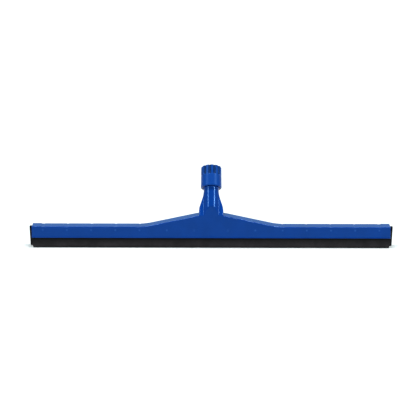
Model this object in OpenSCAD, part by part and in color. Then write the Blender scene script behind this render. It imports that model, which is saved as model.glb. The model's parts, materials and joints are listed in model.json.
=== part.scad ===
// Floor squeegee head: a channel frame of moulded plastic that holds two foam rubber blades,
// with a leaning handle socket closed by a clamp nut and a split grip collet.
// X runs along the blades, Y from the front to the back, and Z up from the floor.

/* [Blades] */
// Length of the rear foam blade at its top
blade_len = 755; // [640:1:900]
// Length of the front foam blade at its top
front_blade_len = 742; // [640:1:890]
// Height of each blade, from the floor to the ribs that stop it
blade_h = 40.5; // [38:0.5:41.5]
// Thickness of each blade
blade_t = 10; // [8:0.5:11]
// Height of blade that shows below the frame
blade_drop = 21; // [16:0.5:22]
// How much shorter each blade end is at the floor than at the top
blade_end_slant = 2; // [0:0.1:3]
// Radius of the lower end corners of the blades
blade_corner_r = 3; // [1:0.5:6]

/* [Frame] */
// Length of the frame
frame_len = 742; // [640:0.5:890]
// Depth of the frame, front to back, without its lower lip
frame_d = 36; // [34:0.5:40]
// Height of the frame's top face above the floor
frame_top = 44.5; // [43.5:0.5:48]
// Thickness of the front and back walls
wall_t = 2.5; // [2:0.1:3]
// Thickness of the top wall
top_t = 2; // [1.6:0.1:2]
// Radius of the long top edges
edge_r = 1.5; // [1:0.1:3]
// How far the lower lip stands out from the walls
lip_out = 0.6; // [0.2:0.1:1.2]
// Height of the lower lip
lip_h = 1.8; // [1.4:0.1:2.4]
// Length of the raised pad at each end of the top face
end_pad_len = 18.5; // [10:0.5:20]
// Height of the raised end pads
end_pad_rise = 0.5; // [0.2:0.1:0.8]

/* [Shoulders] */
// Half length of the sloping shoulders, at their foot
shoulder_half = 137; // [120:1:145]
// Half length of the level crown under the socket
crown_half = 26; // [24:0.5:30]
// Rise of the crown above the frame's top face
crown_rise = 23.6; // [20:0.2:26]

/* [Ribs] */
// Thickness of the cross ribs
rib_t = 3; // [2:0.5:4]
// Place of the first pair of ribs, from the middle
rib_first = 35; // [30:0.5:40]
// Spacing of the ribs under the shoulders
rib_pitch_in = 56.5; // [50:0.5:58]
// Spacing of the ribs beyond the shoulders
rib_pitch_out = 50; // [40:1:50]
// Depth of the shallow sink that each outer rib leaves across the top face
sink_depth = 0.6; // [0.1:0.1:0.8]
// Width of that sink
sink_w = 7; // [4:0.5:9]

/* [Retaining strip] */
// Length of the strip between the blades
strip_len = 738; // [620:1:880]
// Thickness of the strip's web
web_t = 2.4; // [2:0.1:3]

/* [Handle socket] */
// Lean of the socket towards the back
lean = 30; // [20:1:35]
// Height of the point where the socket's axis crosses the frame's middle plane
socket_z = 88.4; // [84:0.1:92]
// Outer radius of the neck
neck_r = 15.8; // [15:0.1:16]
// Radius of the bore that takes the handle
bore_r = 12; // [11.5:0.1:12.2]
// Length of the neck above that point
neck_top = 66; // [60:1:66]
// Depth of the bore below that point
bore_below = 6; // [0:0.5:7]
// Half width of the wings at the neck's foot
wing_half = 25.4; // [22:0.1:25.8]
// Thickness of the wings
wing_t = 11; // [9:0.2:14]
// Radius of the wings' edges
wing_edge_r = 3; // [1:0.5:4]

/* [Thread] */
// Travel of the clamp nut in one turn, which is the spacing of the thread's ridges
pitch = 4; // [3:0.5:4]
// Radius of the thread's crest on the neck
thread_r = 16.9; // [16.5:0.1:16.9]

/* [Clamp nut] */
// Length of the nut
nut_len = 46; // [43:0.1:47]
// Radius of the nut at its lower rim
nut_r_low = 21.65; // [21:0.05:22]
// Radius of the nut at its top
nut_r_top = 21.05; // [20.4:0.05:21.5]
// Radius of the nut's rounded top edge
nut_round = 1.5; // [1:0.1:3]
// Radius of the nut's rounded lower edge
nut_low_round = 2.2; // [1:0.1:3]
// Number of flutes
flutes = 12; // [8:1:14]
// Length of the flutes
flute_len = 21; // [14:0.5:24]
// Depth of the flutes
flute_depth = 3; // [1.4:0.1:3]
// Radius of the flutes' round bottom
flute_r = 3.4; // [3.4:0.2:5]

/* [Grip collet] */
// Half angle of the collet's cone and of its seat in the neck
cone_angle = 12; // [10:0.5:13]
// Distance that the collet stands off its seat with the nut slack
collet_lift = 4.5; // [4:0.1:5]
// Radius of the collet's rim, which the nut holds
rim_r = 16; // [15.8:0.1:16]
// Number of slots in the collet
slots = 6; // [4:1:8]
// Width of the slots
slot_w = 1.6; // [1:0.2:2]

/* [Hidden] */

frame_blue = [0.08, 0.24, 0.58];
nut_blue = [0.09, 0.28, 0.64];
foam_black = [0.11, 0.11, 0.12];
strip_blue = [0.10, 0.30, 0.62];
collet_white = [0.86, 0.87, 0.86];

cut = 1; // how far cutting solids run past what they cut
gap = 0.3; // running clearance between the nut, the collet and the neck

// Frame
half_d = frame_d / 2;
inner_half_d = half_d - wall_t;
ceiling = frame_top - top_t;
crown_top = frame_top + crown_rise;
slope = atan(crown_rise / (shoulder_half - crown_half));
slope_len = crown_rise / sin(slope);
joint_foot = shoulder_half * cos(slope / 2) - frame_top * sin(slope / 2);
joint_crown = crown_half * cos(slope / 2) - crown_top * sin(slope / 2);
cap_t = 6; // depth of the lengths that carry the round top edges
cap_lap = 2; // how far the body under them reaches up into them
lap = 8; // how far those lengths run past their joints before they are cut
far = 600;
last_inner_rib = rib_first + 2 * rib_pitch_in;
inner_ribs = [for (i = [0 : 2]) rib_first + i * rib_pitch_in];
outer_ribs = [for (i = [1 : 4]) last_inner_rib + i * rib_pitch_out];
rib_places = concat(inner_ribs, outer_ribs);
sink_places = concat([last_inner_rib], outer_ribs);
sink_r = (sink_w * sink_w / 4 + sink_depth * sink_depth) / (2 * sink_depth);

// Retaining strip and the jaws that hold it
blade_gap_half = inner_half_d - blade_t;
strip_z = blade_drop + 1;
flange_t = 1.8;
fin_t = 1.2;
fin_z = [strip_z + 5, strip_z + 9];
web_h = 11.2;
head_h = 3;
head_z = blade_h - head_h;
head_half = web_t / 2 + 1;
head_tip_half = 0.6;
jaw_z = strip_z + web_h;
jaw_half_x = 3.5;
jaw_half_y = 4.2;
jaw_clear = 0.2;

// Socket, with heights measured along its axis from the middle plane
cone_run = tan(cone_angle);
mouth_wall = 1.6;
seat_mouth_r = neck_r - mouth_wall;
seat_low = neck_top - (seat_mouth_r - bore_r) / cone_run;
neck_chamfer_r = 0.6;
neck_chamfer_h = 1;
thread_root_r = neck_r - 0.3;
thread_low = 32;
thread_top_gap = 2;
thread_turns = floor((neck_top - thread_top_gap - thread_low) / pitch);
thread_root_w = 2.6;
thread_crest_w = 1.2;
ridge_lap = 1; // how far the ridges reach into the neck
// The wings' outline: how far each point lies in from the widest, and its height
wing_points = [[0, -34], [0, -16], [0.6, -9], [2.3, -3], [11.4, 25.5]];

// Nut and collet, on the same heights
nut_low = 35.3;
nut_top = nut_low + nut_len;
nut_bore_r = thread_r + gap;
nut_chamfer = 0.8;
mouth_chamfer = 1;
lip_low = neck_top + 3.8;
lip_r = rim_r - 0.8;
rim_low = lip_low + 2.1;
rim_top = rim_low + 3;
rim_chamfer = 0.6;
slot_rise = 1; // how far the slots run up into the rim
recess_low = rim_low - gap;
recess_high = rim_top + gap;
mouth_r = bore_r + 1.2;
collet_bore_r = bore_r + 0.2;
tip_r = bore_r + 1;
tip_low = seat_low + collet_lift + (tip_r - bore_r) / cone_run;
flute_run_out = 4;
flute_clear = 0.3;
flute_phase = 20;

// The socket leans back, so the whole part is set forward to stand centred on the origin
back_reach = (nut_top - nut_round) * sin(lean) + (nut_r_top - nut_round) * cos(lean) + nut_round;
front_reach = half_d + lip_out;
set_forward = (front_reach - back_reach) / 2;

// Points of an arc about [x, y], from angle a0 to a1
function arc(x, y, r, a0, a1, n) = [for (i = [0 : n]) let (a = a0 + (a1 - a0) * i / n)
    [x + r * cos(a), y + r * sin(a)]];

// Stands the part centred on the origin
module placed() {
    translate([0, set_forward, 0]) children();
}

// Measures heights along the leaning socket from the frame's middle plane
module on_socket() {
    translate([0, 0, socket_z]) rotate([-lean, 0, 0]) children();
}

// Draws a section in the YZ plane along X, centred
module along_x(length) {
    rotate([90, 0, 90]) linear_extrude(height = length, center = true) children();
}

// Draws an outline in the XZ plane along Y, centred
module along_y(depth) {
    rotate([90, 0, 0]) linear_extrude(height = depth, center = true) children();
}

// A section with its two top corners rounded
module top_rounded(low, high) {
    translate([-half_d, low]) square([frame_d, high - low - edge_r]);
    translate([edge_r - half_d, low]) square([frame_d - 2 * edge_r, high - low]);
    for (side = [-1, 1])
        translate([side * (half_d - edge_r), high - edge_r]) circle(r = edge_r, $fn = 48);
}

// The lip along the lower edge of both walls
module lip_section() {
    translate([-half_d, blade_drop]) square([frame_d, lip_h]);
    for (side = [-1, 1])
        translate([side * (front_reach - lip_h / 2), blade_drop + lip_h / 2])
            circle(r = lip_h / 2, $fn = 32);
}

// What lies between two planes that cross the joints of the level and sloping lengths
module between_joints(low, high) {
    rotate([0, slope / 2, 0]) translate([low, -frame_d, -far]) cube([high - low, 2 * frame_d, 2 * far]);
}

// The top of the level length beyond the shoulders
module arm() {
    arm_low = shoulder_half - lap;
    intersection() {
        translate([(frame_len / 2 + arm_low) / 2, 0, 0])
            along_x(frame_len / 2 - arm_low) top_rounded(frame_top - cap_t, frame_top);
        between_joints(joint_foot, far);
    }
}

// The top of the sloping length, whose edges are rounded like the level ones
module shoulder() {
    intersection() {
        translate([shoulder_half, 0, frame_top])
            rotate([0, slope, 0])
                translate([-slope_len / 2, 0, 0])
                    along_x(slope_len + 2 * lap) top_rounded(-cap_t, 0);
        between_joints(joint_crown, joint_foot);
    }
}

module crown() {
    intersection() {
        along_x(2 * (crown_half + lap)) top_rounded(crown_top - cap_t, crown_top);
        between_joints(-far, joint_crown);
        mirror([1, 0, 0]) between_joints(-far, joint_crown);
    }
}

// The body under those tops
module body() {
    deep = cap_t - cap_lap;
    end_x = frame_len / 2;
    foot_x = shoulder_half - deep * tan(slope / 2);
    crown_x = crown_half - deep * tan(slope / 2);
    along_y(frame_d)
        polygon([[-end_x, blade_drop], [end_x, blade_drop], [end_x, frame_top - deep],
            [foot_x, frame_top - deep], [crown_x, crown_top - deep], [-crown_x, crown_top - deep],
            [-foot_x, frame_top - deep], [-end_x, frame_top - deep]]);
}

module end_pad() {
    translate([(frame_len - end_pad_len) / 2, 0, 0])
        along_x(end_pad_len) top_rounded(frame_top - cap_t, frame_top + end_pad_rise);
}

module half_top() {
    arm();
    shoulder();
    end_pad();
}

// The outside of the channel, its shoulders and crown, before it is hollowed
module channel_outside() {
    half_top();
    mirror([1, 0, 0]) half_top();
    crown();
    body();
    along_x(frame_len) lip_section();
}

// The space that the blades are pushed into, which rises under the shoulders
module channel_space() {
    end_x = frame_len / 2 + cut;
    along_y(2 * inner_half_d)
        polygon([[-end_x, blade_drop - cut], [end_x, blade_drop - cut], [end_x, ceiling],
            [shoulder_half, ceiling], [crown_half, crown_top - top_t],
            [-crown_half, crown_top - top_t], [-shoulder_half, ceiling], [-end_x, ceiling]]);
}

// A cross rib with the pair of jaws that holds the retaining strip
module rib() {
    translate([-rib_t / 2, -half_d, blade_h]) cube([rib_t, frame_d, crown_top - blade_h]);
    translate([-jaw_half_x, -jaw_half_y, jaw_z])
        cube([2 * jaw_half_x, 2 * jaw_half_y, ceiling + top_t / 2 - jaw_z]);
}

module ribs() {
    for (x = rib_places, side = [-1, 1])
        translate([side * x, 0, 0]) rib();
}

// The head of the retaining strip, or the slot that it snaps into when grown by the clearance
module strip_head(grow) {
    web_half = web_t / 2 + grow;
    polygon([[-web_half, jaw_z - cut], [web_half, jaw_z - cut], [web_half, head_z - grow],
        [head_half + grow, head_z - grow], [head_half + grow, head_z + grow],
        [head_tip_half + grow, blade_h + grow], [-head_tip_half - grow, blade_h + grow],
        [-head_half - grow, head_z + grow], [-head_half - grow, head_z - grow],
        [-web_half, head_z - grow]]);
}

// The shallow sinks that the ribs leave across the top face
module sinks() {
    for (x = sink_places, side = [-1, 1])
        translate([side * x, 0, frame_top - sink_depth + sink_r])
            rotate([90, 0, 0]) cylinder(r = sink_r, h = frame_d + 2 * cut, center = true, $fn = 96);
}

// The thread under the nut, drawn as level ridges at its pitch
module thread_ridges() {
    for (i = [0 : thread_turns])
        translate([0, 0, thread_low + i * pitch])
            rotate_extrude($fn = 96)
                polygon([[thread_root_r - ridge_lap, -thread_root_w / 2], [thread_root_r, -thread_root_w / 2],
                    [thread_r, -thread_crest_w / 2], [thread_r, thread_crest_w / 2],
                    [thread_root_r, thread_root_w / 2], [thread_root_r - ridge_lap, thread_root_w / 2]]);
}

// The neck and its two wings, cut off level with the frame's front face
module neck_and_wings() {
    tall = 200;
    foot = -40;
    intersection() {
        translate([-tall / 2, -half_d, ceiling]) cube([tall, tall, tall]);
        on_socket() {
            translate([0, 0, foot]) cylinder(r = neck_r, h = neck_top - foot - neck_chamfer_h, $fn = 96);
            translate([0, 0, neck_top - neck_chamfer_h])
                cylinder(r1 = neck_r, r2 = neck_r - neck_chamfer_r, h = neck_chamfer_h, $fn = 96);
            thread_ridges();
            wings();
        }
    }
}

module wings() {
    edge_x = wing_half - wing_edge_r;
    edge_y = wing_t / 2 - wing_edge_r;
    hull()
        for (p = wing_points, side = [-1, 1], face = [-1, 1])
            translate([side * (edge_x - p[0]), face * edge_y, p[1]]) sphere(r = wing_edge_r, $fn = 32);
}

// The bore for the handle, the cone that closes the collet, and a chamfer
module socket_bore() {
    on_socket() {
        translate([0, 0, -bore_below]) cylinder(r = bore_r, h = neck_top + bore_below + cut, $fn = 96);
        translate([0, 0, seat_low])
            cylinder(r1 = bore_r, r2 = seat_mouth_r + cut * cone_run, h = neck_top - seat_low + cut, $fn = 96);
    }
}

module frame() {
    color(frame_blue) placed()
        difference() {
            union() {
                channel_outside();
                neck_and_wings();
            }
            difference() {
                channel_space();
                ribs();
            }
            along_x(strip_len + 2 * cut) strip_head(jaw_clear);
            sinks();
            socket_bore();
        }
}

// One foam blade, seen from the front
module blade_outline(length) {
    top = length / 2;
    low = top - blade_end_slant;
    r = blade_corner_r;
    polygon(concat([[top, blade_h], [-top, blade_h]],
        arc(r - low, r, r, 180, 270, 6), arc(low - r, r, r, 270, 360, 6)));
}

module blade(side, length) {
    translate([0, side * (blade_gap_half + blade_t / 2), 0]) along_y(blade_t) blade_outline(length);
}

module front_blade() {
    color(foam_black) placed() blade(-1, front_blade_len);
}

module rear_blade() {
    color(foam_black) placed() blade(1, blade_len);
}

// A fir tree section: a flange, two fins that press on the blades, and a head for the jaws
module retaining_strip() {
    color(strip_blue) placed() along_x(strip_len) {
        translate([-blade_gap_half, strip_z]) square([2 * blade_gap_half, flange_t]);
        for (z = fin_z)
            translate([-blade_gap_half, z]) square([2 * blade_gap_half, fin_t]);
        translate([-web_t / 2, strip_z]) square([web_t, jaw_z - strip_z]);
        strip_head(0);
    }
}

module slot_cutter() {
    translate([0, -slot_w / 2, tip_low - cut]) cube([rim_r + cut, slot_w, rim_low + slot_rise - tip_low + cut]);
}

// A split cone with a rim on top: one slot runs right through, so that it can close
module grip_collet() {
    color(collet_white) placed() on_socket()
        difference() {
            rotate_extrude($fn = 96)
                polygon([[collet_bore_r, tip_low], [tip_r, tip_low],
                    [tip_r + (rim_low - tip_low) * cone_run, rim_low], [rim_r, rim_low],
                    [rim_r, rim_top - rim_chamfer], [rim_r - rim_chamfer, rim_top],
                    [collet_bore_r + rim_chamfer, rim_top], [collet_bore_r, rim_top - rim_chamfer]]);
            for (i = [0 : slots - 1])
                rotate([0, 0, 90 + 360 * i / slots]) slot_cutter();
            rotate([0, 0, 90]) translate([0, -slot_w / 2, tip_low - cut])
                cube([rim_r + cut, slot_w, rim_top - tip_low + 2 * cut]);
        }
}

module nut_section() {
    polygon(concat(
        [[nut_bore_r + nut_chamfer, nut_low]],
        arc(nut_r_low - nut_low_round, nut_low + nut_low_round, nut_low_round, -90, 0, 6),
        arc(nut_r_top - nut_round, nut_top - nut_round, nut_round, 0, 90, 6),
        [[mouth_r + mouth_chamfer, nut_top], [mouth_r, nut_top - mouth_chamfer],
            [mouth_r, recess_high], [rim_r + gap, recess_high], [rim_r + gap, recess_low],
            [lip_r, recess_low], [lip_r, lip_low], [nut_bore_r, lip_low],
            [nut_bore_r, nut_low + nut_chamfer]]));
}

module flute_cutter() {
    low = nut_top - flute_len;
    translate([nut_r_top + flute_r - flute_depth, 0, 0]) {
        translate([0, 0, low + flute_run_out]) cylinder(r = flute_r, h = flute_len, $fn = 48);
        translate([0, 0, low])
            cylinder(r1 = flute_r - flute_depth - flute_clear, r2 = flute_r, h = flute_run_out, $fn = 48);
    }
}

module clamp_nut() {
    color(nut_blue) placed() on_socket()
        difference() {
            rotate_extrude($fn = 96) nut_section();
            for (i = [0 : flutes - 1])
                rotate([0, 0, flute_phase + 360 * i / flutes]) flute_cutter();
        }
}

frame();
front_blade();
rear_blade();
retaining_strip();
grip_collet();
clamp_nut();
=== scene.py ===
"""Floor squeegee head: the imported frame, dressed for a studio picture.

Lengths are in millimetres until a mesh is made, with Y measured from the middle plane of the
channel. The socket's heights run along its leaning axis, from the point where it meets that plane.
"""

import json
import math

import bpy
import numpy as np
from mathutils import Matrix, Vector, noise


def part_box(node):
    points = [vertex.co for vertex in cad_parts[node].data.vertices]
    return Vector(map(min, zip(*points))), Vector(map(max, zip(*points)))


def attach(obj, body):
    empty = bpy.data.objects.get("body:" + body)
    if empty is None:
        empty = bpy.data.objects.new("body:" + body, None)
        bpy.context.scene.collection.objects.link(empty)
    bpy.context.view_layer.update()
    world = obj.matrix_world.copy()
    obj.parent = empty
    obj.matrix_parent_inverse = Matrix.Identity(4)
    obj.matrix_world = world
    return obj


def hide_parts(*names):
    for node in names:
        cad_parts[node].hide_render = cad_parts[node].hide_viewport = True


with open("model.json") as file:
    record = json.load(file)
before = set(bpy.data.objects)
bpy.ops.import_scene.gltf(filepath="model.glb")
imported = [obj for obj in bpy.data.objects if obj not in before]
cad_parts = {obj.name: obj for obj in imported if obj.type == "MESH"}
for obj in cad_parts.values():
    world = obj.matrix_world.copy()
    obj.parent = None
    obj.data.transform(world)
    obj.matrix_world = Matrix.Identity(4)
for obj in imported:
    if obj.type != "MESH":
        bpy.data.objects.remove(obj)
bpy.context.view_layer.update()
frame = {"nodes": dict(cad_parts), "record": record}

MM = 0.001


# ---------- sizes, read from the CAD where it gives them ----------

def box_mm(node):
    """The lowest and highest corners of a CAD node, in millimetres."""
    low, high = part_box(node)
    return np.array(low) / MM, np.array(high) / MM


def mount(name):
    """A mount as the record states it."""
    return next(m for m in frame["record"]["mounts"] if m["name"] == name)


# round() clears the single precision of the boxes below.
frame_low, frame_high = box_mm("frame")
front_low, front_high = box_mm("front_blade")
rear_low, rear_high = box_mm("rear_blade")
MIDDLE = (front_low[1] + rear_high[1]) / 2

# The blades. Each end draws in by END_SLANT from its top to the floor.
REAR_LEN = rear_high[0] - rear_low[0]
BLADE_TOP = front_high[2]
BLADE_T = front_high[1] - front_low[1]
END_SLANT = 2.0
BLADE_CORNER, BLADE_TOP_ROUND, BLADE_EDGE = 3.0, 0.8, 0.5
BLADE_SWELL, BLADE_WAVER = 0.35, 0.12
LUMP_DEPTH = 0.07

# The channel, whose walls stand against the blades, with a lip along each wall and a pad at each end
FRAME_HALF = round(frame_high[0], 3)
INNER_D = round(MIDDLE - front_low[1], 3)
WALL = 2.5
HALF_D = INNER_D + WALL
BOTTOM = round(frame_low[2], 3)
TOP = 44.5
TOP_WALL = 2.0
EDGE_R = 1.5
END_ROUND, MOUTH_EDGE, ROOF_FILLET = 0.8, 0.3, 1.0
LIP_OUT = 0.6
LIP_R, LIP_BLEND = 0.9, 0.5
PAD_LEN = 18.5
PAD_START = FRAME_HALF - PAD_LEN
PAD_RISE, PAD_RUN = 0.5, 0.8
GROOVE_DEPTH, GROOVE_WIDTH, GROOVE_OFF = 0.5, 0.7, 0.9

# The shoulders, from their foot up to the crown, and the cosine of their slope
FOOT, FOOT_BLEND = 137.0, 3.0
CROWN, CROWN_BLEND = 26.0, 1.5
CROWN_TOP = 68.1
SLOPE_COS = 0.98

# The ribs, the jaws under them that hold the strip by its barbed head, and the marks they leave outside
RIBS_IN = (35.0, 91.5)
RIBS_OUT = (148.0, 198.0, 248.0, 298.0, 348.0)
RIB_HALF = 1.5
JAW_HALF_X, JAW_HALF_Y, JAW_LOW, JAW_ROUND = 3.5, 4.2, 33.2, 0.6
SLOT_HALF, HEAD_HALF, HEAD_TIP_HALF = 1.4, 2.4, 0.8
HEAD_LOW, HEAD_CLEAR, BARB_SCALE = 37.5, 0.2, 0.75
SINK_DEPTH, SINK_WIDTH = 0.6, 2.1
DIMPLE_Z, DIMPLE_DEPTH, DIMPLE_WIDTH = 38.0, 0.5, 1.9
# Paler spots are painted below each dimple's centre, as a painted highlight on its lower rim.
HIGHLIGHT_DROP, HIGHLIGHT_WIDTH = 0.6, 1.7

# The scar of the moulding gate
GATE_HALF_X, GATE_HALF_Z, GATE_OUT = 3.2, 1.3, 0.55
GATE_Z = BOTTOM + 2.8

# The leaning socket: neck, bore and the wings at its sides, whose outline is given inside their round edge
socket_floor = np.array(mount("handle_socket")["pos_m"]) / MM
LEAN_SIN, LEAN_COS = mount("handle_socket")["axis"][1:]
SOCKET_Z = round(socket_floor[2] - (socket_floor[1] - MIDDLE) * LEAN_COS / LEAN_SIN, 2)
SOCKET_REACH = 32
NECK_R, NECK_TOP, NECK_TOP_ROUND = 15.8, 66.0, 0.8
NECK_LOW_Z = TOP - TOP_WALL + 1
NECK_FILLET, FRONT_BLEND = 2.4, 1.0
BORE_R, BORE_LOW, BORE_EDGE = mount("handle_socket")["dims"]["r_mm"], -6.0, 0.4
SEAT_LOW, SEAT_ANGLE = 55.65, math.radians(12)
WING_HALF_T, WING_EDGE_R, WING_FILLET = 5.5, 3.0, 3.0
WING_OUTLINE = [(22.4, -34.0), (22.4, -16.0), (21.8, -9.0), (20.1, -3.0), (11.0, 25.5)]

# The thread. Half heights are those of a ridge at its root and at its crest.
PITCH = 4.0
THREAD_END = 0.35
THREAD_ROOT, THREAD_CREST = 15.5, 16.9
THREAD_ROOT_HALF, THREAD_CREST_HALF = 1.4, 0.6
THREAD_LOW, THREAD_HIGH = 31.2, 64.2
NUT_THREAD_ROOT, NUT_THREAD_CREST = 17.5, 15.9
NUT_THREAD_ROOT_HALF, NUT_THREAD_CREST_HALF = 1.35, 0.55
NUT_THREAD_LOW, NUT_THREAD_HIGH = 37.2, 67.6

# The nut outside, its bore, and above that the lip, the recess for the collet and the mouth
NUT_LOW, NUT_TOP = 35.3, 81.3
NUT_R_LOW, NUT_R_TOP = 21.65, 21.05
NUT_LOW_ROUND, NUT_TOP_ROUND = 2.2, 1.5
NUT_BORE, NUT_CHAMFER, NUT_CHAMFER_OUT = 17.2, 1.0, 0.8
NUT_LIP_R, NUT_LIP_LOW = 15.2, 69.8
RECESS_R, RECESS_LOW = 16.3, 71.6
MOUTH_R, MOUTH_LOW, MOUTH_ROUND = 13.2, 75.2, 0.9
INNER_CHAMFER = 0.3

# The flutes, which grow to their depth over the first 1 / FLUTE_GROWTH mm of their length
FLUTES, FLUTE_LEN, FLUTE_DEPTH, FLUTE_R = 12, 21.0, 3.0, 3.4
FLUTE_GROWTH, FLUTE_CLEAR, FLUTE_EDGE = 0.35, 0.3, 0.5
FLUTE_PHASE = math.radians(20)


# ---------- signed distances, negative inside ----------

def smooth_max(a, b, k):
    """The greater of two distances, blended where they are less than k apart."""
    h = np.maximum(k - np.abs(a - b), 0) / k
    return np.maximum(a, b) + h * h * k / 4


def smooth_min(a, b, k):
    return -smooth_max(-a, -b, k)


def smooth_step(t):
    t = np.clip(t, 0, 1)
    return t * t * (3 - 2 * t)


def bell(d, width):
    """1 at d = 0, falling away over about a width on both sides."""
    return np.exp(-(d / width) ** 2)


def rounded_corner(a, b, r):
    """Distance to a corner rounded by r, from how far past its round's centre a place is."""
    return np.minimum(np.maximum(a, b), 0) + np.hypot(np.maximum(a, 0), np.maximum(b, 0)) - r


def crest(x):
    """Height of the top face along the length: arms, slopes with a soft foot, and the crown."""
    a = np.abs(x)
    slope = (CROWN_TOP - TOP) / (FOOT - CROWN)
    line = CROWN_TOP - slope * (a - CROWN)
    line = smooth_min(line, np.full_like(a, CROWN_TOP), CROWN_BLEND)
    return smooth_max(line, np.full_like(a, TOP), FOOT_BLEND)


def top_height(x):
    """The top face with the sinks over the ribs, and the raised pads and the grooves before them."""
    a = np.abs(x)
    z = crest(x)
    for rib in RIBS_OUT:
        z = z - SINK_DEPTH * bell(a - rib, SINK_WIDTH)
    z = z + PAD_RISE * smooth_step((a - PAD_START) / PAD_RUN + 0.5)
    return z - GROOVE_DEPTH * bell(a - PAD_START + GROOVE_OFF, GROOVE_WIDTH)


def face_depth(x, z):
    """How far the front and back faces stand from the middle, with a dimple at each rib."""
    a = np.abs(x)
    depth = np.full_like(a, HALF_D)
    for rib in RIBS_IN + RIBS_OUT:
        depth = depth - DIMPLE_DEPTH * bell(np.hypot(a - rib, z - DIMPLE_Z), DIMPLE_WIDTH)
    return depth


def outside(x, y, z):
    """The channel, its shoulders and its crown, before it is hollowed."""
    step = 0.05
    height = top_height(x)
    lean = (top_height(x + step) - top_height(x - step)) / (2 * step)
    above = (z - height) / np.sqrt(1 + lean * lean)
    q_y = np.abs(y) - face_depth(x, z) + EDGE_R
    q_z = above + EDGE_R
    return np.maximum(rounded_corner(q_y, q_z, EDGE_R), BOTTOM - z)


def lip(y, z):
    """The bead along the lower edge of both walls."""
    reach = HALF_D + LIP_OUT - LIP_R
    return np.hypot(np.maximum(np.abs(y) - reach, 0), z - BOTTOM - LIP_R) - LIP_R


def wing_outline(x, s):
    """Distance to the outline of the wings in the socket's own X and height."""
    points = WING_OUTLINE + [(-px, ps) for px, ps in reversed(WING_OUTLINE)]
    nearest = np.full_like(x, 1e9)
    inside = np.full_like(x, -1e9)
    for (ax, az), (bx, bz) in zip(points, points[1:] + points[:1]):
        ex, ez = bx - ax, bz - az
        length = math.hypot(ex, ez)
        t = np.clip(((x - ax) * ex + (s - az) * ez) / length ** 2, 0, 1)
        nearest = np.minimum(nearest, np.hypot(x - ax - t * ex, s - az - t * ez))
        inside = np.maximum(inside, ((x - ax) * ez - (s - az) * ex) / length)
    return np.where(inside > 0, nearest, -nearest)


def socket_place(y, z):
    """Height along the socket, and the distance behind its axis."""
    up = z - SOCKET_Z
    return y * LEAN_SIN + up * LEAN_COS, y * LEAN_COS - up * LEAN_SIN


def neck_and_wings(x, y, z):
    """The neck and its wings, cut off flush with the front face."""
    s, t = socket_place(y, z)
    radius = np.hypot(x, t)
    neck = smooth_max(radius - NECK_R, s - NECK_TOP, NECK_TOP_ROUND)
    beyond = np.maximum(np.abs(t) - WING_HALF_T + WING_EDGE_R, 0)
    wings = np.hypot(np.maximum(wing_outline(x, s), 0), beyond) - WING_EDGE_R
    both = smooth_min(neck, wings, WING_FILLET)
    both = smooth_max(both, -HALF_D - y, FRONT_BLEND)
    return np.maximum(both, NECK_LOW_Z - z)


def bore(x, y, z):
    """The space for the handle, which widens to the collet's seat."""
    s, t = socket_place(y, z)
    radius = np.hypot(x, t)
    seat = (radius - BORE_R - (s - SEAT_LOW) * math.tan(SEAT_ANGLE)) * math.cos(SEAT_ANGLE)
    wall = np.minimum(radius - BORE_R, seat)
    return np.maximum(wall, BORE_LOW - s)


def cavity(x, y, z):
    """The space for the blades, less the ribs and the jaws that hold the strip."""
    roof = (z - crest(x) + TOP_WALL) * SLOPE_COS
    space = smooth_max(np.abs(y) - INNER_D, roof, ROOF_FILLET)
    a = np.abs(x)
    ribs = np.full_like(a, 1e9)
    jaws = np.full_like(a, 1e9)
    for place in RIBS_IN + RIBS_OUT:
        ribs = np.minimum(ribs, np.abs(a - place) - RIB_HALF)
        jaws = np.minimum(jaws, np.abs(a - place) - JAW_HALF_X)
    ribs = np.maximum(ribs, BLADE_TOP - z)
    jaws = smooth_max(jaws, np.abs(y) - JAW_HALF_Y, JAW_ROUND)
    jaws = np.maximum(np.maximum(jaws, JAW_LOW - z), z - TOP + TOP_WALL / 2)
    slot = np.maximum(np.abs(y) - SLOT_HALF, z - HEAD_LOW)
    barb = (z - BLADE_TOP - HEAD_CLEAR + np.abs(y) - HEAD_TIP_HALF) * BARB_SCALE
    head = np.maximum(np.maximum(np.abs(y) - HEAD_HALF, HEAD_LOW - HEAD_CLEAR - z), barb)
    jaws = np.maximum(jaws, -np.minimum(slot, head))
    return np.maximum(space, -np.minimum(ribs, jaws))


def gate_mark(x, y, z):
    """The small scar of the moulding gate, on the front face just above the lip."""
    x, y, z = x / GATE_HALF_X, (y + HALF_D) / GATE_OUT, (z - GATE_Z) / GATE_HALF_Z
    return (np.sqrt(x ** 2 + y ** 2 + z ** 2) - 1) * GATE_OUT


def frame_distance(x, y, z):
    """The whole moulding: what stands out, joined with soft edges, less its cavity and its bore."""
    body = outside(x, y, z)
    near = np.abs(x) < SOCKET_REACH
    if near.any():
        neck = neck_and_wings(x[near], y[near], z[near])
        body[near] = np.maximum(smooth_min(body[near], neck, NECK_FILLET), -HALF_D - y[near])
    body = smooth_min(body, lip(y, z), LIP_BLEND)
    body = np.minimum(body, gate_mark(x, y, z))
    body = smooth_max(body, np.abs(x) - FRAME_HALF, END_ROUND)
    body = smooth_max(body, -cavity(x, y, z), MOUTH_EDGE)
    if near.any():
        body[near] = smooth_max(body[near], -bore(x[near], y[near], z[near]), BORE_EDGE)
    return body


# ---------- a mesh from a signed distance ----------

def gradient(distance, p):
    """The slope of a distance at points (n, 3), by central differences."""
    step = 0.02
    parts = []
    for axis in range(3):
        shift = np.zeros(3)
        shift[axis] = step
        parts.append((distance(*(p + shift).T) - distance(*(p - shift).T)) / (2 * step))
    return np.stack(parts, axis=1)


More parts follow.
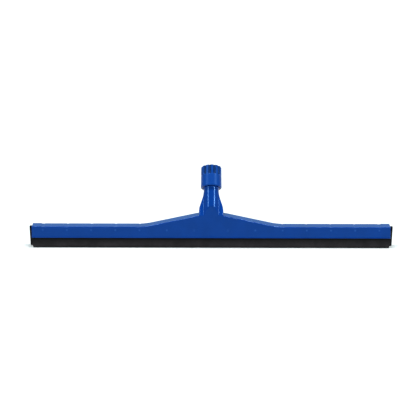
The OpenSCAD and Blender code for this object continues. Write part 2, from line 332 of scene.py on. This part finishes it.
def contour(distance, points):
    """Vertices and quads of the surface where distance is 0, on a grid of points (nx, ny, nz, 3).

    One vertex stands in each cell that the surface crosses, where the planes through its crossings
    meet, so that edges stay sharp. A quad is laid across each grid edge that the surface crosses."""
    shape = np.array(points.shape[:3])
    value = distance(*points.reshape(-1, 3).T).reshape(shape)
    cells = shape - 1
    strides = np.array([cells[1] * cells[2], cells[2], 1])
    marks, places, quads = [], [], []
    for axis in range(3):
        lower = [slice(None)] * 3
        upper = [slice(None)] * 3
        lower[axis], upper[axis] = slice(0, -1), slice(1, None)
        low, high = value[tuple(lower)], value[tuple(upper)]
        at = np.argwhere((low < 0) != (high < 0))
        other = [a for a in range(3) if a != axis]
        at = at[np.all([(at[:, a] > 0) & (at[:, a] < cells[a]) for a in other], axis=0)]
        nxt = at.copy()
        nxt[:, axis] += 1
        f0, f1 = value[tuple(at.T)], value[tuple(nxt.T)]
        t = (f0 / (f0 - f1))[:, None]
        place = points[tuple(at.T)] * (1 - t) + points[tuple(nxt.T)] * t
        around = []
        for du, dv in ((-1, -1), (0, -1), (0, 0), (-1, 0)):
            cell = at.copy()
            cell[:, other[0]] += du
            cell[:, other[1]] += dv
            around.append(cell @ strides)
        around = np.stack(around, axis=1)
        flip = (f0 < 0) == (axis == 1)
        quads.append(np.where(flip[:, None], around[:, ::-1], around))
        marks.append(around)
        places.append(place)
    place = np.concatenate(places)
    normal = gradient(distance, place)
    normal /= np.maximum(np.linalg.norm(normal, axis=1, keepdims=True), 1e-9)
    quads = np.concatenate(quads)
    used, number = np.unique(np.concatenate(marks).ravel(), return_inverse=True)
    number = number.reshape(-1, 4)
    total = len(used)

    def gather(values):
        return sum(np.bincount(number[:, c], weights=values, minlength=total) for c in range(4))

    count = gather(np.ones(len(place)))
    mean = np.stack([gather(place[:, a]) / count for a in range(3)], axis=1)
    matrix = np.empty((total, 3, 3))
    along = (normal * place).sum(axis=1)
    right = np.stack([gather(normal[:, a] * along) for a in range(3)], axis=1)
    for a in range(3):
        for b in range(a, 3):
            matrix[:, a, b] = matrix[:, b, a] = gather(normal[:, a] * normal[:, b])
    pull = 0.08  # draws a vertex to the mean of its crossings where the planes leave it free
    rest = right - np.einsum("nab,nb->na", matrix, mean)
    move = np.linalg.solve(matrix + pull * np.eye(3), rest[:, :, None])[:, :, 0]
    corner = np.stack([used // strides[0], used // strides[1] % cells[1], used % cells[2]], axis=1)
    low = points[tuple(corner.T)]
    high = points[tuple((corner + 1).T)]
    room = 0.02  # how far past its cell a vertex may stand
    vertex = np.clip(mean + move, np.minimum(low, high) - room, np.maximum(low, high) + room)
    return vertex, np.searchsorted(used, quads)


def lines(*stretches):
    """Grid lines from (start, end, step) stretches and single places, in order."""
    places = []
    for s in stretches:
        if isinstance(s, tuple):
            n = max(1, round((s[1] - s[0]) / s[2]))
            places.extend(np.linspace(s[0], s[1], n + 1))
        else:
            places.append(s)
    return np.unique(np.round(places, 4))


def mirrored(places):
    return np.unique(np.concatenate([-places, places]))


def frame_grid():
    """Grid lines that are close at edges and wide on flats, and that follow the top face."""
    near_rib = (1.05, 1.95, 3.05, 3.95, 5.6)
    half = list(lines((0.6, 28.2, 1.15), (30.1, 146, 4.6), (150, 349, 8)))
    for rib in RIBS_IN + RIBS_OUT:
        half = [h for h in half if abs(h - rib) > 6.4]
        half += [rib + side * n for n in near_rib for side in (-1, 1)] + [rib]
    half = [h for h in half if h < PAD_START - 3]
    half += [PAD_START + h for h in lines(-2.05, (-1.35, 1.15, 0.42), 2.75, 7.75)]
    half += [FRAME_HALF + h for h in (-5.75, -2.15, -0.85, -0.25, 0.35)]
    x = mirrored(np.array(half))
    walls = lines((14.6, 19.1, 0.56), 13.2, 11.3, 9.2, 7.2, 5.6, (0.5, 4.7, 0.7))
    y = np.concatenate([mirrored(walls), lines((19.8, 48.6, 1.6))])
    level = lines((20.35, 24.1, 0.41), (25.2, 32, 2.2), 32.9, 33.5, (34.4, 39.8, 0.9), (40.3, 45.3, 0.5),
                  (46, 131.8, 1.45))
    crest_of_x = top_height(x)
    above = np.maximum(level - TOP, 0)[None, :]
    below = np.minimum(level, TOP)[None, :]
    stretch = ((crest_of_x - BOTTOM) / (TOP - BOTTOM))[:, None]
    z = BOTTOM + (below - BOTTOM) * stretch + above
    points = np.empty((len(x), len(y), len(level), 3))
    points[..., 0] = x[:, None, None]
    points[..., 1] = y[None, :, None]
    points[..., 2] = z[:, None, :]
    return points


def make_mesh(name, vertices, faces, smooth_angle):
    """An object from vertices in millimetres, whose edges over smooth_angle degrees are sharp."""
    v = np.array(vertices, float)
    v[:, 1] += MIDDLE
    mesh = bpy.data.meshes.new(name)
    mesh.from_pydata((v * MM).tolist(), [], [list(map(int, f)) for f in faces])
    mesh.shade_smooth()
    mesh.set_sharp_from_angle(angle=math.radians(smooth_angle))
    mesh.update()
    obj = bpy.data.objects.new(name, mesh)
    bpy.context.scene.collection.objects.link(obj)
    return obj


def painted_rib_highlight(vertices):
    """How strongly a painted highlight pales the plastic at each vertex: a spot on the lower rim of the
    dimple over each rib behind the front or back face.
    """
    x, y, z = np.abs(vertices.T)
    painted_highlight = np.zeros(len(vertices))
    for rib in RIBS_IN + RIBS_OUT:
        painted_highlight = np.maximum(painted_highlight, bell(np.hypot(x - rib, z - DIMPLE_Z + HIGHLIGHT_DROP), HIGHLIGHT_WIDTH))
    return np.where(y > INNER_D + 1, painted_highlight, 0)


def make_frame():
    """The moulding's mesh, which carries the painted highlights at its ribs as an attribute for its
    material.
    """
    vertices, quads = contour(frame_distance, frame_grid())
    moulding = make_mesh("frame_moulding", vertices, quads, 40)
    painted_highlight = moulding.data.attributes.new("painted_highlight", "FLOAT", "POINT")
    painted_highlight.data.foreach_set("value", painted_rib_highlight(vertices))
    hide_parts("frame")
    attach(moulding, "head")
    return moulding


# ---------- the other pieces ----------

def socket_point(x, t, s):
    """A point given across, behind and along the socket, in the frame's millimetres."""
    return np.stack([x, s * LEAN_SIN + t * LEAN_COS, SOCKET_Z + s * LEAN_COS - t * LEAN_SIN], axis=-1)


def grid_faces(rows, columns, wrap_rows=False, wrap_columns=False):
    """Quads over a grid of vertices numbered row by row."""
    r = np.arange(rows if wrap_rows else rows - 1)
    c = np.arange(columns if wrap_columns else columns - 1)
    r, c = np.meshgrid(r, c, indexing="ij")
    r1, c1 = (r + 1) % rows, (c + 1) % columns
    quads = np.stack([r * columns + c, r * columns + c1, r1 * columns + c1, r1 * columns + c], axis=-1)
    return quads.reshape(-1, 4)


def make_thread(name, body, section, low, high, phase):
    """A right-hand helical ridge that runs out at both ends, to THREAD_END of its height.

    section gives its radii and half heights, from root to root."""
    per_turn = 72
    taper = 0.2
    turns = (high - low) / PITCH
    steps = int(turns * per_turn)
    u = np.linspace(0, turns, steps + 1)
    full = smooth_step(np.minimum(u, turns - u) / taper)[:, None]
    angle = (2 * math.pi * u + phase)[:, None]
    section = np.array(section)
    root = section[0, 0]
    radius = root + (section[:, 0] - root) * full
    height = low + PITCH * u[:, None] + section[:, 1] * (THREAD_END + (1 - THREAD_END) * full)
    v = socket_point(radius * np.cos(angle), radius * np.sin(angle), height).reshape(-1, 3)
    n = len(section)
    faces = grid_faces(steps + 1, n, wrap_columns=True).tolist()
    faces += [list(range(n))[::-1], list(range(steps * n, steps * n + n))]
    ridge = make_mesh(name, v, faces, 40)
    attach(ridge, body)
    return ridge


def ridge_section(root, rim, root_half, rim_half):
    """A trapezium with its crest broken by small chamfers."""
    side = 1 if rim > root else -1
    soft = 0.18
    return [(root, -root_half), (rim - side * soft, -rim_half - soft * 0.5), (rim, -rim_half + soft * 0.6),
            (rim, rim_half - soft * 0.6), (rim - side * soft, rim_half + soft * 0.5), (root, root_half)]


def arc(x, y, r, start, end, n):
    a = np.radians(np.linspace(start, end, n + 1))
    return list(zip(x + r * np.cos(a), y + r * np.sin(a)))


def nut_inside():
    """The nut's section from its top face down: mouth, recess for the collet, lip and bore.

    The points on straight stretches are rings that keep the shading even."""
    c = INNER_CHAMFER
    inner = [(18.2, NUT_TOP), (16.2, NUT_TOP)]
    inner += arc(MOUTH_R + MOUTH_ROUND, NUT_TOP - MOUTH_ROUND, MOUTH_ROUND, 90, 180, 4)
    inner += [(MOUTH_R, 78.8), (MOUTH_R, MOUTH_LOW + c), (MOUTH_R + c, MOUTH_LOW)]
    inner += [(RECESS_R - c, MOUTH_LOW), (RECESS_R, MOUTH_LOW - c)]
    inner += [(RECESS_R, RECESS_LOW + c), (RECESS_R - c, RECESS_LOW)]
    inner += [(NUT_LIP_R + c, RECESS_LOW), (NUT_LIP_R, RECESS_LOW - c)]
    inner += [(NUT_LIP_R, NUT_LIP_LOW + c), (NUT_LIP_R + c, NUT_LIP_LOW)]
    inner += [(NUT_BORE - c, NUT_LIP_LOW), (NUT_BORE, NUT_LIP_LOW - c)]
    return inner + [(NUT_BORE, 60), (NUT_BORE, 48), (NUT_BORE, NUT_LOW + NUT_CHAMFER)]


def nut_profile():
    """Radius and height round the nut's section: up the outside, then down the inside."""
    outer = [(NUT_BORE + NUT_CHAMFER_OUT, NUT_LOW)]
    outer += arc(NUT_R_LOW - NUT_LOW_ROUND, NUT_LOW + NUT_LOW_ROUND, NUT_LOW_ROUND, -90, 0, 8)
    start, end = outer[-1], (NUT_R_TOP, NUT_TOP - NUT_TOP_ROUND)
    taper = (end[0] - start[0]) / (end[1] - start[1])
    heights = lines(38.5, 41, 44, 47, 50, 53, 56, 58, (59.3, 65.3, 0.5), (66.5, 79, 1.25))
    outer += [(start[0] + taper * (h - start[1]), h) for h in heights]
    outer += arc(NUT_R_TOP - NUT_TOP_ROUND, NUT_TOP - NUT_TOP_ROUND, NUT_TOP_ROUND, 0, 90, 7)
    return np.array(outer + nut_inside()), len(outer)


def make_nut():
    """The nut's section turned about the socket, with round flutes cut into its upper side."""
    profile, outer = nut_profile()
    columns = 20 * FLUTES
    angle = np.arange(columns) * 2 * math.pi / columns
    radius = np.repeat(profile[:, 0][:, None], columns, axis=1)
    height = np.repeat(profile[:, 1][:, None], columns, axis=1)
    turn = (angle - FLUTE_PHASE) / (2 * math.pi / FLUTES)
    off = (turn - np.round(turn)) * 2 * math.pi / FLUTES
    centre = NUT_R_TOP + FLUTE_R - FLUTE_DEPTH
    grown = smooth_step(FLUTE_GROWTH * (profile[:, 1] - (NUT_TOP - FLUTE_LEN)))
    cutter = (FLUTE_R - (FLUTE_DEPTH + FLUTE_CLEAR) * (1 - grown))[:, None]
    reach = np.maximum(cutter ** 2 - (centre * np.sin(off)[None, :]) ** 2, 0)
    cut = np.where(reach > 0, centre * np.cos(off)[None, :] - np.sqrt(reach), centre)
    fluted = smooth_min(radius, cut, FLUTE_EDGE)
    high = profile[:, 1] > NUT_TOP - FLUTE_LEN
    on_side = (np.arange(len(profile)) < outer) & (profile[:, 0] > NUT_BORE) & high
    radius = np.where(on_side[:, None], fluted, radius)
    v = socket_point(radius * np.cos(angle), radius * np.sin(angle), height).reshape(-1, 3)
    faces = grid_faces(len(profile), columns, wrap_rows=True, wrap_columns=True)[:, ::-1]
    nut = make_mesh("nut_body", v, faces, 40)
    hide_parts("clamp_nut")
    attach(nut, "nut")
    return nut


def blade_distance(x, y, z, length):
    """One foam strip about its own middle plane: a little swollen and wavy below the frame."""
    half = length / 2 - END_SLANT * (1 - z / BLADE_TOP)
    swell = BLADE_SWELL * smooth_step((BOTTOM - z) / 4) * smooth_step((z + 6) / 12)
    waver = BLADE_WAVER * np.sin(x / 37 + y / 5) * np.sin(x / 83 + z / 9 + 1.3)
    flat = np.abs(y) - BLADE_T / 2 - (swell + waver) * smooth_step((BOTTOM - z) / 1.5)
    q_x, q_z = np.abs(x) - half + BLADE_CORNER, BLADE_CORNER - z
    outline = smooth_max(rounded_corner(q_x, q_z, BLADE_CORNER), z - BLADE_TOP, BLADE_TOP_ROUND)
    return smooth_max(flat, outline, BLADE_EDGE)


def foam_lumps(p):
    """The slow unevenness of a cut foam face, at a point in millimetres."""
    return noise.noise(Vector(p) * 0.35) + 0.6 * noise.noise(Vector(p) * 0.9 + Vector((7, 3, 1)))


def make_blade(node, name):
    """A foam strip in the place of its CAD node, with lumps where it shows."""
    low, high = box_mm(node)
    middle = (low[1] + high[1]) / 2 - MIDDLE
    half = (high[0] - low[0]) / 2

    def distance(x, y, z):
        return blade_distance(x, y, z, 2 * half)

    x = mirrored(lines((0.9, half - 8, 2.6), (half - 7, half + 0.6, 0.55)))
    y = mirrored(lines(0.8, 2.6, 3.7, (4.3, 5.8, 0.3)))
    z = lines((-0.4, 4.2, 0.4), (5.5, 20, 1.5), (20.4, 22.4, 0.5), (25, 37, 3), (39.1, 40.9, 0.45))
    points = np.stack(np.meshgrid(x, y, z, indexing="ij"), axis=-1)
    vertices, quads = contour(distance, points)
    lumps = np.array([foam_lumps(p) for p in vertices])
    normal = gradient(distance, vertices)
    below_frame = smooth_step((BOTTOM - vertices[:, 2]) / 2)
    past_frame = smooth_step((np.abs(vertices[:, 0]) - FRAME_HALF - 0.6) / 1.5)
    shown = np.clip(below_frame + past_frame, 0, 1)
    vertices = vertices + normal * (LUMP_DEPTH * lumps * shown)[:, None]
    vertices[:, 2] = np.maximum(vertices[:, 2], 0)
    vertices[:, 1] += middle
    blade = make_mesh(name, vertices, quads, 50)
    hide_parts(node)
    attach(blade, "head")
    return blade


# ---------- materials, in linear RGB ----------

# The second colour is the paler blue of the painted highlights at the ribs.
FRAME_BLUE, RIB_HIGHLIGHT_PAINT = (0.001, 0.032, 0.232), (0.016, 0.075, 0.34)
NUT_BLUE, STRIP_BLUE = (0.001, 0.038, 0.245), (0.002, 0.06, 0.30)
COLLET_WHITE = (0.68, 0.69, 0.66)
BLUE_GLOSS, PLAIN_GLOSS = (0.18, 0.5, 1.0), (1, 1, 1)
# Radii about the socket of the nut's painted shade, and how dark that painted shade makes it.
FLUTE_SHADE_RADII, PAINTED_SHADE_FACTOR = (18.8, 21.0), 0.4
# The third foam colour is that of the pores, and also of the painted shade on the foam.
FOAM_BLACK, FOAM_DUSTY, FOAM_PORE_AND_SHADE = (0.023, 0.019, 0.021), (0.038, 0.031, 0.035), (0.003, 0.003, 0.0035)


class Material:
    """A node material built up one node at a time."""

    def __init__(self, name):
        self.material = bpy.data.materials.new(name)
        self.material.use_nodes = True
        self.tree = self.material.node_tree
        self.shader = self.tree.nodes["Principled BSDF"]
        self.place = self.add("ShaderNodeTexCoord").outputs["Object"]

    def add(self, kind, **settings):
        node = self.tree.nodes.new(kind)
        for key, value in settings.items():
            setattr(node, key, value)
        return node

    def link(self, source, target):
        self.tree.links.new(source, target)

    def set(self, name, value):
        self.shader.inputs[name].default_value = value

    def noise(self, scale, detail, rough=0.5, stretch=(1, 1, 1)):
        """Noise of scale cycles a metre, drawn out along an axis by stretch."""
        mapping = self.add("ShaderNodeMapping")
        mapping.inputs["Scale"].default_value = stretch
        self.link(self.place, mapping.inputs["Vector"])
        node = self.add("ShaderNodeTexNoise")
        node.inputs["Scale"].default_value = scale
        node.inputs["Detail"].default_value = detail
        node.inputs["Roughness"].default_value = rough
        self.link(mapping.outputs[0], node.inputs["Vector"])
        return node.outputs[0]

    def cells(self, scale):
        """Distance to the nearest cell centre, with scale cells a metre."""
        node = self.add("ShaderNodeTexVoronoi")
        node.inputs["Scale"].default_value = scale
        self.link(self.place, node.inputs["Vector"])
        return node.outputs["Distance"]

    def attribute(self, name):
        return self.add("ShaderNodeAttribute", attribute_name=name).outputs["Fac"]

    def height(self):
        split = self.add("ShaderNodeSeparateXYZ")
        self.link(self.place, split.inputs[0])
        return split.outputs["Z"]

    def socket_radius(self):
        """Distance from the socket's axis."""
        away = self.add("ShaderNodeVectorMath", operation="SUBTRACT")
        self.link(self.place, away.inputs[0])
        away.inputs[1].default_value = mount("handle_socket")["pos_m"]
        across = self.add("ShaderNodeVectorMath", operation="CROSS_PRODUCT")
        self.link(away.outputs[0], across.inputs[0])
        across.inputs[1].default_value = mount("handle_socket")["axis"]
        length = self.add("ShaderNodeVectorMath", operation="LENGTH")
        self.link(across.outputs[0], length.inputs[0])
        return length.outputs["Value"]

    def fit(self, value, low, high, to_low, to_high):
        """A value carried from one range to another, and held within it."""
        node = self.add("ShaderNodeMapRange")
        node.inputs["From Min"].default_value = low
        node.inputs["From Max"].default_value = high
        node.inputs["To Min"].default_value = to_low
        node.inputs["To Max"].default_value = to_high
        self.link(value, node.inputs["Value"])
        return node.outputs[0]

    def combine(self, operation, a, b):
        """Two values added or multiplied, each a number or another node's output."""
        node = self.add("ShaderNodeMath", operation=operation)
        for value, socket in ((a, node.inputs[0]), (b, node.inputs[1])):
            if isinstance(value, (int, float)):
                socket.default_value = value
            else:
                self.link(value, socket)
        return node.outputs[0]

    def blend(self, amount, low, high):
        """A colour between two, each a linear RGB triple or another node's output."""
        node = self.add("ShaderNodeMix", data_type="RGBA")
        self.link(amount, node.inputs["Factor"])
        for value, socket in ((low, node.inputs[6]), (high, node.inputs[7])):
            if isinstance(value, tuple):
                socket.default_value = (*value, 1)
            else:
                self.link(value, socket)
        return node.outputs[2]

    def bump(self, height, distance, strength, below=None):
        node = self.add("ShaderNodeBump")
        node.inputs["Strength"].default_value = strength
        node.inputs["Distance"].default_value = distance
        self.link(height, node.inputs["Height"])
        if below is not None:
            self.link(below, node.inputs["Normal"])
        return node.outputs[0]

    def finish(self, colour, roughness, normal):
        self.link(colour, self.shader.inputs["Base Color"])
        self.link(roughness, self.shader.inputs["Roughness"])
        self.link(normal, self.shader.inputs["Normal"])
        return self.material


def moulded_plastic(name, colour, gloss, tint, cloud_step=0.08, flute_shade=None, painted_highlight=None):
    """Polypropylene from a polished tool: faint cloudiness, orange peel, and hairline scuffs.

    tint colours the gloss. cloud_step is the share by which the cloudiness pales or darkens.
    The sixth argument gives two radii about the socket for painted shade in the flutes and nearer the
    axis: dark at the first, and unshaded from the second.
    The seventh argument is the paler colour of a painted highlight, which the mesh's attribute of the
    argument's name brings in."""
    m = Material(name)
    cloud = m.fit(m.noise(28, 3), 0.3, 0.7, 0, 1)
    paler = tuple(min(1, c * (1 + cloud_step)) for c in colour)
    darker = tuple(c * (1 - cloud_step) for c in colour)
    shade = m.blend(cloud, darker, paler)
    scuffs = m.fit(m.noise(420, 2, 0.6, (0.06, 1, 1)), 0.62, 0.8, 0, 1)
    rub = m.fit(m.noise(60, 4, 0.6), 0.35, 0.75, 0, 1)
    wear_and_painted_shade = m.combine("MULTIPLY", scuffs, rub)
    shade = m.blend(m.combine("MULTIPLY", wear_and_painted_shade, 0.12), shade, tuple(c + 0.04 for c in paler))
    # Painted highlight: paler spots where the mesh's attribute marks the dimples' lower rims.
    if painted_highlight:
        shade = m.blend(m.attribute("painted_highlight"), shade, painted_highlight)
    # Painted shade: the nut is darkened in its flutes and nearer the socket's axis.
    if flute_shade:
        unshaded = m.fit(m.socket_radius(), flute_shade[0] * MM, flute_shade[1] * MM, 0, 1)
        shade = m.blend(unshaded, tuple(c * PAINTED_SHADE_FACTOR for c in colour), shade)
    uneven = m.fit(m.noise(150, 3), 0.3, 0.7, gloss - 0.02, gloss + 0.04)
    roughness = m.combine("ADD", uneven, m.combine("MULTIPLY", wear_and_painted_shade, 0.06))
    peel = m.bump(m.noise(520, 2, 0.4), 0.00006, 0.5)
    fine = m.bump(m.noise(3600, 2, 0.5), 0.00001, 0.5, peel)
    m.set("IOR", 1.49)
    m.set("Specular Tint", (*tint, 1))
    return m.finish(shade, roughness, fine)


def foam_rubber(name):
    """Closed-cell rubber, skived from a block: fine pores, some larger, a matt face with patches of dust,
    and painted shade towards the floor and up under the frame.
    """
    m = Material(name)
    pores = m.cells(1500)
    large = m.cells(520)
    pits = m.fit(pores, 0.05, 0.42, 0, 1)
    holes = m.fit(large, 0.04, 0.2, 0, 1)
    depth = m.combine("MULTIPLY", pits, holes)
    dust = m.fit(m.noise(45, 4, 0.6), 0.35, 0.7, 0, 1)
    face = m.blend(dust, FOAM_BLACK, FOAM_DUSTY)
    # Painted shade: darker along the bottom edge at the floor, and darker up under the frame's lip.
    height = m.height()
    edge = m.fit(height, 1.2 * MM, 3 * MM, 0.35, 1)
    lip_shade_paint = m.fit(height, 6 * MM, 19.5 * MM, 1, 0)
    wear_and_painted_shade = m.combine("MULTIPLY", edge, lip_shade_paint)
    colour = m.blend(m.combine("MULTIPLY", depth, wear_and_painted_shade), FOAM_PORE_AND_SHADE, face)
    roughness = m.fit(depth, 0, 1, 0.98, 0.86)
    skive = m.bump(m.noise(260, 2, 0.5, (0.25, 1, 3)), 0.00012, 0.5)
    normal = m.bump(depth, 0.00022, 0.7, skive)
    m.set("Specular IOR Level", 0.15)
    m.set("Sheen Weight", 0.04)
    m.set("Sheen Roughness", 0.5)
    return m.finish(colour, roughness, normal)


def paint(obj, material):
    if len(obj.material_slots) == 0:
        obj.data.materials.append(material)
    for slot in obj.material_slots:
        slot.material = material


frame_plastic = moulded_plastic("frame_plastic", FRAME_BLUE, 0.18, BLUE_GLOSS, painted_highlight=RIB_HIGHLIGHT_PAINT)
nut_plastic = moulded_plastic("nut_plastic", NUT_BLUE, 0.36, BLUE_GLOSS, flute_shade=FLUTE_SHADE_RADII)
strip_plastic = moulded_plastic("strip_plastic", STRIP_BLUE, 0.4, BLUE_GLOSS)
collet_plastic = moulded_plastic("collet_plastic", COLLET_WHITE, 0.45, PLAIN_GLOSS, cloud_step=0.02)
foam = foam_rubber("foam_rubber")

paint(make_frame(), frame_plastic)
paint(make_nut(), nut_plastic)
neck_section = ridge_section(THREAD_ROOT, THREAD_CREST, THREAD_ROOT_HALF, THREAD_CREST_HALF)
neck_thread = make_thread("neck_thread", "head", neck_section, THREAD_LOW, THREAD_HIGH, 0.0)
paint(neck_thread, frame_plastic)
nut_section = ridge_section(NUT_THREAD_ROOT, NUT_THREAD_CREST, NUT_THREAD_ROOT_HALF, NUT_THREAD_CREST_HALF)
nut_thread = make_thread("nut_thread", "nut", nut_section, NUT_THREAD_LOW, NUT_THREAD_HIGH, math.pi)
paint(nut_thread, nut_plastic)
paint(make_blade("front_blade", "front_foam"), foam)
paint(make_blade("rear_blade", "rear_foam"), foam)
paint(frame["nodes"]["retaining_strip"], strip_plastic)
paint(frame["nodes"]["grip_collet"], collet_plastic)


# ---------- camera, floor and light, in metres and degrees ----------

CAMERA_FAR, CAMERA_UP, CAMERA_ROLL = 4.5, 11.1, 0.13
AIM_X, AIM_Z = -0.00245, 0.0802
VIEW_WIDTH = 1.1478 * REAR_LEN * MM
SKY, SKY_STRENGTH = (0.55, 0.95, 1, 1), 0.4
FLOOR_GREY, FLOOR_HALF = 0.66, 20


def look_matrix(eye, target, roll):
    """The place and turn of a camera or lamp at eye that looks at target."""
    away = (Vector(eye) - Vector(target)).normalized()
    turn = away.to_track_quat("Z", "Y").to_matrix().to_4x4()
    return Matrix.Translation(eye) @ turn @ Matrix.Rotation(roll, 4, "Z")


def make_camera():
    """Square to the front and a little above it, from far off as for a product picture."""
    elevation = math.radians(CAMERA_UP)
    target = Vector((AIM_X, (MIDDLE - HALF_D) * MM, AIM_Z))
    eye = target + CAMERA_FAR * Vector((0, -math.cos(elevation), math.sin(elevation)))
    data = bpy.data.cameras.new("camera")
    data.sensor_width = 36.0
    data.lens = data.sensor_width * CAMERA_FAR / VIEW_WIDTH
    data.clip_end = 60
    camera = bpy.data.objects.new("camera", data)
    camera.matrix_world = look_matrix(eye, target, math.radians(CAMERA_ROLL))
    bpy.context.scene.collection.objects.link(camera)
    bpy.context.scene.camera = camera


def make_sun(name, azimuth, elevation, size, strength):
    """A broad far lamp. Azimuth is measured from the front towards +X."""
    a, e = math.radians(azimuth), math.radians(elevation)
    direction = Vector((math.sin(a) * math.cos(e), -math.cos(a) * math.cos(e), math.sin(e)))
    data = bpy.data.lights.new(name, "SUN")
    data.energy = strength
    data.angle = math.radians(size)
    lamp = bpy.data.objects.new(name, data)
    lamp.matrix_world = look_matrix(5 * direction, (0, 0, 0), 0)
    bpy.context.scene.collection.objects.link(lamp)


def make_floor():
    mesh = bpy.data.meshes.new("floor")
    corners = [(x * FLOOR_HALF, y * FLOOR_HALF, 0) for x, y in ((-1, -1), (1, -1), (1, 1), (-1, 1))]
    mesh.from_pydata(corners, [], [(0, 1, 2, 3)])
    floor = bpy.data.objects.new("floor", mesh)
    bpy.context.scene.collection.objects.link(floor)
    coat = bpy.data.materials.new("floor_paint")
    coat.use_nodes = True
    shader = coat.node_tree.nodes["Principled BSDF"]
    shader.inputs["Base Color"].default_value = (FLOOR_GREY, FLOOR_GREY, FLOOR_GREY, 1)
    shader.inputs["Roughness"].default_value = 0.9
    mesh.materials.append(coat)


def make_studio():
    """A pale floor that fills the view, a dim sky, and soft lamps."""
    scene = bpy.context.scene
    scene.view_settings.view_transform = "Standard"
    world = bpy.data.worlds.new("studio")
    scene.world = world
    world.use_nodes = True
    sky = world.node_tree.nodes["Background"]
    sky.inputs["Color"].default_value = SKY
    sky.inputs["Strength"].default_value = SKY_STRENGTH
    make_sun("key_right", 62, 35, 8, 0.75)
    make_sun("key_left", -60, 37, 8, 0.5)
    make_sun("over_right", 90, 77, 20, 2.15)
    make_sun("over_left", -90, 77, 20, 2.15)
    make_floor()


make_camera()
make_studio()
